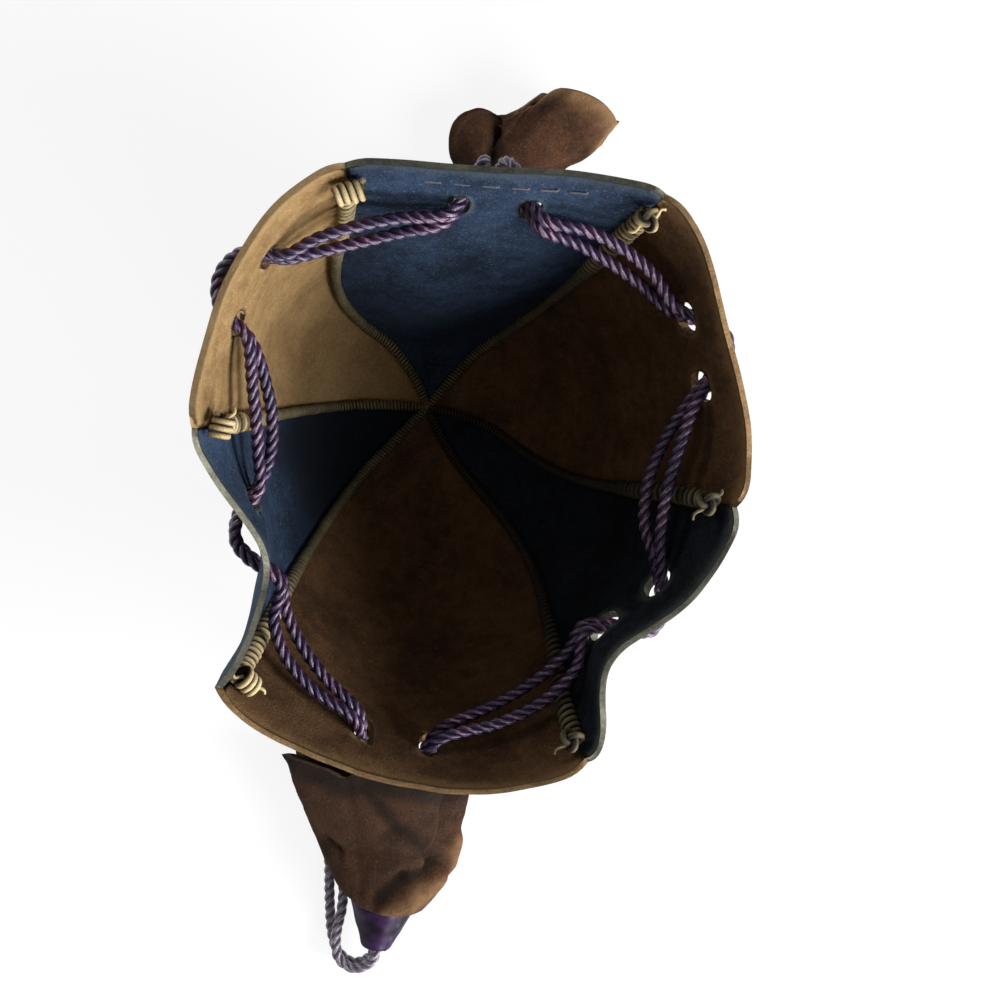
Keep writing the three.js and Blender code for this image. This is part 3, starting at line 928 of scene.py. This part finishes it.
tasselMake = {
    "coneLength": 9,
    "mouthRadius": 5.4,
    "coneWall": 1,
    "socketDepth": 4,
    "neckRun": 0.6,
    "petalReach": 13.5,
    "petalThickness": 1.1,
    "petalCount": 5,
    "flute": 0.2,
    "curlStart": 0.31,
    "cordEndGap": 0.9,
    "tailRoom": 6,
    "tailBend": 4.4,
    "frontTipReach": 44.4,
    "frontTipAside": -1,
    "frontLift": 1.2,
    "petalColumns": 30,
    "petalSteps": 44,
    "edgeRound": 0.25,
    "edgeSegments": 2,
    "weld": 1e-4,
    "ruffle": 0.9,
    "ruffleRound": 2.2,  # how often, round the bell and along it
    "ruffleAlong": 3,
    "crumple": 0.55,
    "crumpleScale": 2.3,
    "lap": 1.2,  # how far one edge of a petal lies over the next petal
    "foldReach": 9,  # millimetres round the bell for a turn of one radian, where folds are placed
    "droopAt": (0.1, 0.09),  # where along the bell its shoulder droops over the cone, and how widely
    "droopStart": 0.03,
    "droopTurn": 0.2,  # and on which side most
    "droopPower": 1.5,
    "droopSwell": 0.3,
    # ridges lightened, partly rubbed wear and partly painted light; creases darkened, painted shade
    "ridgeWearAndLight": 0.6,
    "foldShade": 0.85,
    "tipWear": 9,  # how soon the wear fades from the petals' ends
    "topRows": (0.72, 0.95),  # where painted shade darkens the petals towards their ends
}
cordDiameter = 2.0  # of both draw cords


def tipHeight(pitch, lift):
    slope = math.radians(pitch)
    low = tasselMake["mouthRadius"] * math.cos(slope)
    return lift + low - tasselMake["coneLength"] * math.sin(slope)


def backTip(pitch):
    height = tipHeight(pitch, shell["clearance"])
    row = 0
    while panelPoint(backPanel, 0.5, row).z < height + tasselMake["tailBend"]:
        row += shell["stride"]
    outward = panelFrame(backPanel, 0.5, row)[1]
    outward.z = 0
    room = shell["leather"] / 2 + shell["clearance"] + cordDiameter / 2
    room += tasselMake["tailBend"] + tasselMake["cordEndGap"] + tasselMake["tailRoom"]
    point = panelPoint(backPanel, 0.5, row) + outward.normalized() * room
    point.z = height
    return point


def frontTip(pitch):
    rim = panelPoint(frontPanel, 0.5, 1)
    height = tipHeight(pitch, tasselMake["frontLift"])
    return Vector((rim.x + tasselMake["frontTipAside"], rim.y - tasselMake["frontTipReach"], height))


tassels = {
    "back": {"tip": backTip(2), "heading": -33, "pitch": 2, "length": 25.5, "notch": 0.26, "turn": 25,
             "squash": 0.5, "curls": [10, -22, -60, -150, -150], "shoulder": 0.6, "lean": 2.5,
             "droop": 0, "grimeAndShade": 0, "topShade": 0, "rubbed": 1, "edge": "petalEdge",
             "folds": [(-0.85, 0.66, -0.35, 0.57, 2.4, 1.2), (-0.35, 0.57, -0.05, 0.36, 2.0, 1.1)]},
    # the front tassel is darkened all over and towards its ends, and takes the darker raw edge: painted
    # shade
    "front": {"tip": frontTip(5), "heading": -9, "pitch": 5, "length": 28.5, "notch": 0.08, "turn": 11,
              "squash": 0.38, "curls": [15, 0, 0, 0, 15], "shoulder": 0.33, "lean": -3.8, "droop": 3.2,
              "grimeAndShade": 0.4, "topShade": 0.95, "rubbed": 0, "edge": "paintedShadeEdge",
              "folds": [(-0.26, 0.94, 0.16, 0.66, 1.6, 1.6), (0.16, 0.66, 1.08, 0.45, 1.8, 1.5),
                        (1.08, 0.44, 0.31, 0.37, 1.4, 1.1), (0.31, 0.37, -0.1, 0.3, 1.4, 1.0),
                        (1.15, 0.34, 0.4, 0.3, -1.3, 1.4), (0.4, 0.3, 0.02, 0.25, -0.8, 1.1),
                        (1.3, 0.55, 1.5, 0.4, -1.5, 2.2), (-0.95, 0.5, -0.78, 0.47, 1.4, 1.1)]},
}


def tasselPlace(tassel):
    turn = Euler((math.radians(tassel["pitch"]), 0, math.radians(tassel["heading"])), "XYZ")
    return Matrix.Translation(tassel["tip"]) @ turn.to_matrix().to_4x4()


def foldAt(tassel, angle, y):  # how far the folds press a place in, how much painted shade falls in its creases, and how much its ridges are lightened, partly rubbed wear and partly painted light
    scale = Vector((tasselMake["foldReach"], tassel["length"]))
    place = Vector(((angle + math.pi) % (2 * math.pi) - math.pi, y)) * scale
    press = paintedShade = rubbed = 0
    for fromAngle, fromY, toAngle, toY, depth, width in tassel["folds"]:
        start = Vector((fromAngle, fromY)) * scale
        run = Vector((toAngle, toY)) * scale - start
        share = clamp((place - start).dot(run) / run.length_squared)
        near = math.exp(-((place - start - run * share).length / width) ** 2)
        press += depth * near
        paintedShade = max(paintedShade, near if depth > 0 else 0)
        rubbed = max(rubbed, near if depth < 0 else 0)
    return press, paintedShade, rubbed


def petalPoint(tassel, angle, y, layer):
    make = tasselMake
    neck = make["mouthRadius"] - make["coneWall"] - shell["clearance"] - make["petalThickness"] / 2
    length = tassel["length"]
    neckShare = (make["socketDepth"] + make["neckRun"]) / length / (1 - tassel["notch"])
    bell = max(0, y - neckShare) / (1 - neckShare)
    opened = bell ** tassel["shoulder"]
    root = make["coneLength"] - make["socketDepth"] + shell["clearance"]
    petalAngle = (angle - math.radians(tassel["turn"])) * make["petalCount"] / (2 * math.pi)
    petal = round(petalAngle)
    aside = petalAngle - petal
    after = petal + (1 if aside > 0 else -1)
    curls = [tassel["curls"][k % make["petalCount"]] for k in (petal, after)]
    curl = lerp(*curls, max(0, 2 * abs(aside) - 0.5))  # half way to the next petal's at the notch
    fold = abs(math.cos(math.pi * petalAngle))
    share = y * (1 - tassel["notch"] * (1 - math.sqrt(fold)))
    over = max(0, share - make["curlStart"]) * length
    curlLength = (1 - make["curlStart"]) * length
    bend = math.radians(curl) * over / curlLength or shell["probe"]
    lift = over * (1 - math.cos(bend)) / bend + layer * math.cos(bend)
    back = over - over * math.sin(bend) / bend + layer * math.sin(bend)
    often = make["ruffleRound"]
    ring = Vector((math.cos(angle) * often, math.sin(angle) * often, y * make["ruffleAlong"]))
    crease = make["ruffle"] * y * y * noise.noise(ring)
    rough = ring * make["crumpleScale"] + tassel["tip"]
    crease += make["crumple"] * bell * noise.fractal(rough, 1, 2, 3)
    crease += make["lap"] * bell * aside - foldAt(tassel, angle, y)[0]
    droopAt, droopWidth = make["droopAt"]
    droop = tassel["droop"] * max(0, math.cos(angle - make["droopTurn"])) ** make["droopPower"]
    droop *= smooth(0, make["droopStart"], bell)
    droop *= math.exp(-((bell - droopAt) / droopWidth) ** 2)
    crease += make["droopSwell"] * droop
    flare = lerp(neck, make["petalReach"], opened) * (1 + make["flute"] * (fold - 0.5) * y)
    reach = flare + lift + crease
    flatten = lerp(1, tassel["squash"], min(1, 2 * y))
    across = reach * math.sin(angle) + tassel["lean"] * bell
    return Vector((across, root + share * length - back - droop, reach * flatten * math.cos(angle)))


def makePetals(side, tassel):
    make = tasselMake
    bm = bmesh.new()
    wear, inside, shadeAndFade = newLayers(bm, "wear", "inside", "shadeAndFade")
    columns = make["petalColumns"] * make["petalCount"]
    bmesh.ops.create_grid(bm, x_segments=columns, y_segments=make["petalSteps"], size=0.5)
    low = thicken(bm)
    sides = [face for face in bm.faces if abs(face.normal.x) > 0.5]
    bmesh.ops.delete(bm, geom=sides, context="FACES_ONLY")  # the sheet closes round the bell
    place = tasselPlace(tassel)
    for vert in bm.verts:
        angle = 2 * math.pi * (vert.co.x + 0.5)
        y = vert.co.y + 0.5
        layer = (vert.co.z - low - 0.5) * make["petalThickness"]
        # painted shade in the creases; ridges lightened, partly rubbed wear and partly painted light
        _, paintedShade, rubbed = foldAt(tassel, angle, y)
        worn = tassel["rubbed"] * math.exp((y - 1) * make["tipWear"])
        vert[wear] = max(make["ridgeWearAndLight"] * rubbed, worn)
        # painted shade: the front tassel darker all over and towards its ends under the rim
        top = tassel["topShade"] * smooth(*make["topRows"], y)
        vert[shadeAndFade] = max(tassel["grimeAndShade"] * (1 - rubbed), make["foldShade"] * paintedShade, top)
        vert[inside] = 0.5  # as rough as half way
        vert.co = place @ petalPoint(tassel, angle, y, layer)
    bmesh.ops.remove_doubles(bm, verts=bm.verts[:], dist=make["weld"])
    roundEdges(bm, make["edgeRound"], make["edgeSegments"])
    name = side + "_tassel_petals"
    mesh = meshOf(name, bm)
    edge = finishes[tassel["edge"]]
    return newPiece(name + "_suede", mesh, "brown_suede", finishes["petal"], edge, node=name)


coneMake = {
    "profile": [  # out from the axis, and along it
        (0.9, 0.9), (1.5, 0.15), (2.1, 0.03), (2.5, 0.4), (2.9, 1.5), (3.9, 4.1), (4.75, 6.4),
        (5.4, 8.8), (5.3, 9.05), (4.75, 9.0), (4.45, 8.4), (4.4, 5.2),
    ],
    "step": 0.3,
    "around": 72,
    "lap": 0.22,  # the edge of the rolled strip: its height, and in radians where it is
    "lapAt": 0.6,
    "lapRise": (0.0, 0.08),
    "lapFall": (3.6, 0.9),
    "lapWear": 0.3,
    "lapWearAt": 0.62,
    "lapWearReach": (0.1, 0.02),
    "mouthWear": (8.2, 9),
    "crumple": 0.12,
    "crumpleScale": 0.5,
}


def makeCone(side, tassel):
    make = coneMake
    bm = bmesh.new()
    wear = bm.verts.layers.float.new("wear")
    outline = [Vector((radius, along, 0)) for radius, along in make["profile"]]
    chain = [bm.verts.new(place) for place in smoothLine(outline, make["step"])]
    edges = [bm.edges.new(pair) for pair in zip(chain, chain[1:])]
    bmesh.ops.spin(bm, geom=chain + edges, cent=(0, 0, 0), axis=(0, 1, 0), angle=2 * math.pi,
                   steps=make["around"], use_merge=True)
    bmesh.ops.remove_doubles(bm, verts=bm.verts[:], dist=tasselMake["weld"])
    place = tasselPlace(tassel)
    for vert in bm.verts:
        angle = math.atan2(vert.co.x, vert.co.z)
        rise = smooth(*make["lapRise"], angle - make["lapAt"])
        lap = make["lap"] * rise * smooth(*make["lapFall"], angle)
        crumple = make["crumple"] * noise.noise(vert.co * make["crumpleScale"] + tassel["tip"])
        edgeWear = make["lapWear"] * smooth(*make["lapWearReach"], abs(angle - make["lapWearAt"]))
        vert[wear] = clamp(smooth(*make["mouthWear"], vert.co.y) + edgeWear)
        outward = Vector((vert.co.x, 0, vert.co.z)).normalized()
        vert.co = place @ (vert.co + outward * (lap + crumple))
    name = side + "_tassel_cone"
    return newPiece(name + "_roll", meshOf(name, bm), "purple_leather", finishes["cone"], node=name)


cones = {side: makeCone(side, tassel) for side, tassel in tassels.items()}
petals = {side: makePetals(side, tassel) for side, tassel in tassels.items()}
print("tassels", len(tassels))


# Draw cords: each runs in and out of every slit, and its two tails go down together to its tassel

cordMake = {
    "gap": 0.5,
    "crossingOut": 2.6,
    "crossingAlong": [1.4, 1.4, 1.4, 2.2, 1.8, 1.4],  # how far the cords lean in each panel's slits
    "crossingBows": [1.5, 1.4, 1.7, 1.9, 2.1, 1.7],  # how far they stand off each panel, outside
    "bowSag": 0.3,  # how far they sag there, as a share
    "spanShares": (0.25, 0.5, 0.75),  # places on the way over a corner, inside
    "plies": 3,
    "ply": 0.48,
    "lay": 0.44,  # from the cord's middle to a ply's
    "pitch": 5.0,
    "step": 0.28,
    "firstSide": (0.3, 0.2, 1),  # the direction across a cord that the twist starts from
    # the range over which a ply's crown value rises, for its painted highlight
    "crest": (0.35, 1.0),
    "faded": (-64, -76),  # the loop at the front has lost its colour
    "intoCone": 2.4,  # how far a cord's end runs into its cone
    "squeeze": 0.62,  # how the back cord's ends close up there
}
pairSpacing = cordDiameter + cordMake["gap"]
endGap = tasselMake["cordEndGap"]


def crossing(index, side, drop):
    point, along, outside = onPanel(index, side * panelMake["slitSpacing"] / 2, drop)
    step = outside * cordMake["crossingOut"] - along * side * cordMake["crossingAlong"][index]
    return point + step, point - step


def cornerSpan(index, start, stop, drop, span, sag):
    bow = insideSeam(index, seamRow(index, drop), span) - start.lerp(stop, 0.5)
    bow.z = -sag
    return [start.lerp(stop, share) + bow * archOver(share) for share in cordMake["spanShares"]]


# Along the rim, down from it and out from the leather
frontTailOnPanel = [(1.6, 12.8, 4.6)]
backTailOnPanel = [(2.2, 8.2, 5.2), (1.4, 10.2, 7.0), (1.35, 13.6, 7.2), (1.35, 18, 6.4),
                   (1.35, 24, 5.4), (1.35, 31, 4.8), (1.35, 38, 4.2)]
# Back from the back tip, and up
backTailAtTip = [(5.1, 5.5), (5, 3), (3.6, 0.9), (endGap, 0), (-cordMake["intoCone"], 0)]


def tailOnPanel(index, side, places):
    points = []
    for along, drop, out in places:
        point, _, outside = onPanel(index, side * along, drop)
        points.append(point + outside * out)
    return points


def backTail(side):
    points = tailOnPanel(backPanel, side, backTailOnPanel)
    turn = Matrix.Rotation(math.radians(tassels["back"]["heading"]), 3, "Z")
    for behind, up in backTailAtTip:
        aside = -side * (1 if behind > 0 else cordMake["squeeze"]) * pairSpacing / 2
        points.append(turn @ Vector((aside, -behind, up)) + tassels["back"]["tip"])
    return points


# Across and back from the front tip, and up from the ground
frontTailDown = [(0, 44.6, 33), (0, 44.8, 22), (0, 44.6, 12), (-0.5, 43.2, 5.2), (-1.7, 39.1, 1.8)]
frontTailOut = [(-3.6, 33, 1.1), (-5.2, 26.4, 1.1), (-6.2, 19.6, 1.1)]
lowerLoop = [(-7.5, 12.6, 1.1), (-7.5, 6, 1.1), (-7.2, 0.6, 1.15), (-6.1, -2.8, 1.5), (-3.7, -4.3, 2.4),
             (-1.2, -3.2, 3.5), (0, -endGap, 4.55), (0.4, cordMake["intoCone"], 5.1)]
upperLoop = [(-5, 12.6, 1.2), (-5.4, 6, 2.2), (-6.6, 0.6, 3.5), (-6.1, -2.8, 4.1), (-3.7, -4.3, 4.9),
             (-1.2, -3.2, 6), (0, -endGap, 7.05), (0.4, cordMake["intoCone"], 6.9)]


def frontTail(side):
    points = tailOnPanel(frontPanel, side, frontTailOnPanel)
    tip = tassels["front"]["tip"]
    for x, y, z in frontTailDown + frontTailOut:
        points.append(Vector((tip.x + x + side * pairSpacing / 2, tip.y + y, z)))
    for x, y, z in lowerLoop if side < 0 else upperLoop:
        points.append(Vector((tip.x + x, tip.y + y, z)))
    return points


def cordRoute(home, level, span, sag, tail):
    drop = panelMake["slitDrop"] - level * pairSpacing / 2
    points = tail(1)[::-1]
    outer, inner = crossing(home, 1, drop)
    points += [outer, inner]
    for step in range(1, len(panels) + 1):
        index = (home + step) % len(panels)
        nextOuter, nextInner = crossing(index, -1, drop)
        points += cornerSpan(index, inner, nextInner, drop, span, sag) + [nextInner, nextOuter]
        if index != home:
            between, _, outside = onPanel(index, 0, drop)
            outer, inner = crossing(index, 1, drop)
            out = cordMake["crossingOut"] + cordMake["crossingBows"][index]
            between.z -= cordMake["bowSag"] * cordMake["crossingBows"][index]
            points += [between + outside * out, outer, inner]
    return points + tail(-1)


drawCords = {
    "back": {"home": backPanel, "level": 1, "span": 5.5, "sag": 0.4, "tail": backTail},
    "front": {"home": frontPanel, "level": -1, "span": 7, "sag": 1.2, "tail": frontTail},
}


def makeCord(side, make):
    route = smoothLine(cordRoute(**make), cordMake["step"])
    frames = carriedFrames(route, Vector(cordMake["firstSide"]))
    strands = []
    for ply in range(cordMake["plies"]):
        line = []
        for k, (place, across, lift) in enumerate(frames):
            turn = 2 * math.pi * (k * cordMake["step"] / cordMake["pitch"] + ply / cordMake["plies"])
            line.append(place + (across * math.cos(turn) + lift * math.sin(turn)) * cordMake["lay"])
        strands.append(strand(line, cordMake["ply"], route))
    name = side + "_draw_cord"

    def shadeAndFadeAt(place):
        return smooth(*cordMake["faded"], place.y / mm)

    mesh = tubeMesh(name, strands, shadeAndFadeAt, cordMake["crest"])
    piece = newPiece(name + "_twist", mesh, "silk_cord", finishes["silk"], node=name)
    path = [toFrame @ place for place in route]
    length = sum((b - a).length for a, b in zip(path, path[1:]))
    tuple(path[0])
    print(name, "length", round(length, 3), "verts", len(mesh.vertices))


for side, make in drawCords.items():
    makeCord(side, make)


# Floor, light and camera

stageMake = {
    "floor": 4.0,
    "floorColour": (0.9, 0.9, 0.9, 1),
    "floorGlow": 0.88,  # share of plain white in what the camera sees of it
    "white": (1, 1, 1, 1),
    "worldLight": 0.26,
    "aim": (0.0, 0.0, 0.045),
}
lamps = {
    "key": {"place": (0.42, -0.17, 0.38), "size": 0.3, "power": 5.0},
    "front": {"place": (0.24, -0.5, 0.17), "size": 0.2, "power": 3.0},
    "back": {"place": (-0.4, 0.36, 0.06), "size": 0.3, "power": 1.6},  # too low to shine into the mouth
}
cameraMake = {
    "place": (-18.93, 34.25, 300.83),  # from the middle of the bottom, in millimetres
    "turn": (-9.434, -5.913, 0.0),  # degrees
    "lens": 65.7,
    "sensor": 36.0,
    "near": 0.01,
}


def floorMaterial():
    material, wire = newMaterial("paleFloor")
    camera, glossy, through = [wire.node("LightPath", output=k) for k in (0, 3, 6)]
    seen = wire.maths("MAXIMUM", wire.maths("MAXIMUM", camera, glossy), through)
    matt = wire.node("BsdfDiffuse", {}, {"Color": stageMake["floorColour"]})
    white = wire.node("Emission", {}, {"Color": stageMake["white"], "Strength": 1.0})
    mixed = wire.node("MixShader", {}, {0: seen * stageMake["floorGlow"], 1: matt, 2: white})
    wire.node("OutputMaterial", {}, {"Surface": mixed})
    return material


def makeFloor():
    bm = bmesh.new()
    bmesh.ops.create_grid(bm, x_segments=2, y_segments=2, size=stageMake["floor"] / 2)
    mesh = bpy.data.meshes.new("floor")
    bm.to_mesh(mesh)
    bm.free()
    mesh.materials.append(floorMaterial())
    floor = bpy.data.objects.new("floor", mesh)
    bpy.context.scene.collection.objects.link(floor)


def makeWorld():
    world = bpy.data.worlds.new("studio")
    world.use_nodes = True
    world.node_tree.nodes.clear()
    wire = Wire(world.node_tree)
    rays = wire.node("LightPath", output=0)
    strength = rays * (1 - stageMake["worldLight"]) + stageMake["worldLight"]
    sky = wire.node("Background", {}, {"Color": stageMake["white"], "Strength": strength})
    wire.node("OutputWorld", {}, {"Surface": sky})
    bpy.context.scene.world = world


def makeLamp(name, place, size, power):
    lamp = bpy.data.lights.new(name, "AREA")
    lamp.shape = "DISK"
    lamp.size = size
    lamp.energy = power
    holder = bpy.data.objects.new(name, lamp)
    holder.location = place
    towards = Vector(stageMake["aim"]) - Vector(place)
    holder.rotation_euler = towards.to_track_quat("-Z", "Y").to_euler()
    bpy.context.scene.collection.objects.link(holder)


def makeCamera():
    lens = bpy.data.cameras.new("camera")
    lens.lens = cameraMake["lens"]
    lens.sensor_width = cameraMake["sensor"]
    lens.clip_start = cameraMake["near"]
    holder = bpy.data.objects.new("camera", lens)
    holder.location = toFrame @ Vector(cameraMake["place"])
    holder.rotation_euler = [math.radians(value) for value in cameraMake["turn"]]
    bpy.context.scene.collection.objects.link(holder)
    bpy.context.scene.camera = holder


makeFloor()
makeWorld()
for name, lamp in lamps.items():
    makeLamp(name, **lamp)
makeCamera()
bpy.context.scene.view_settings.view_transform = "Standard"
print("stage")
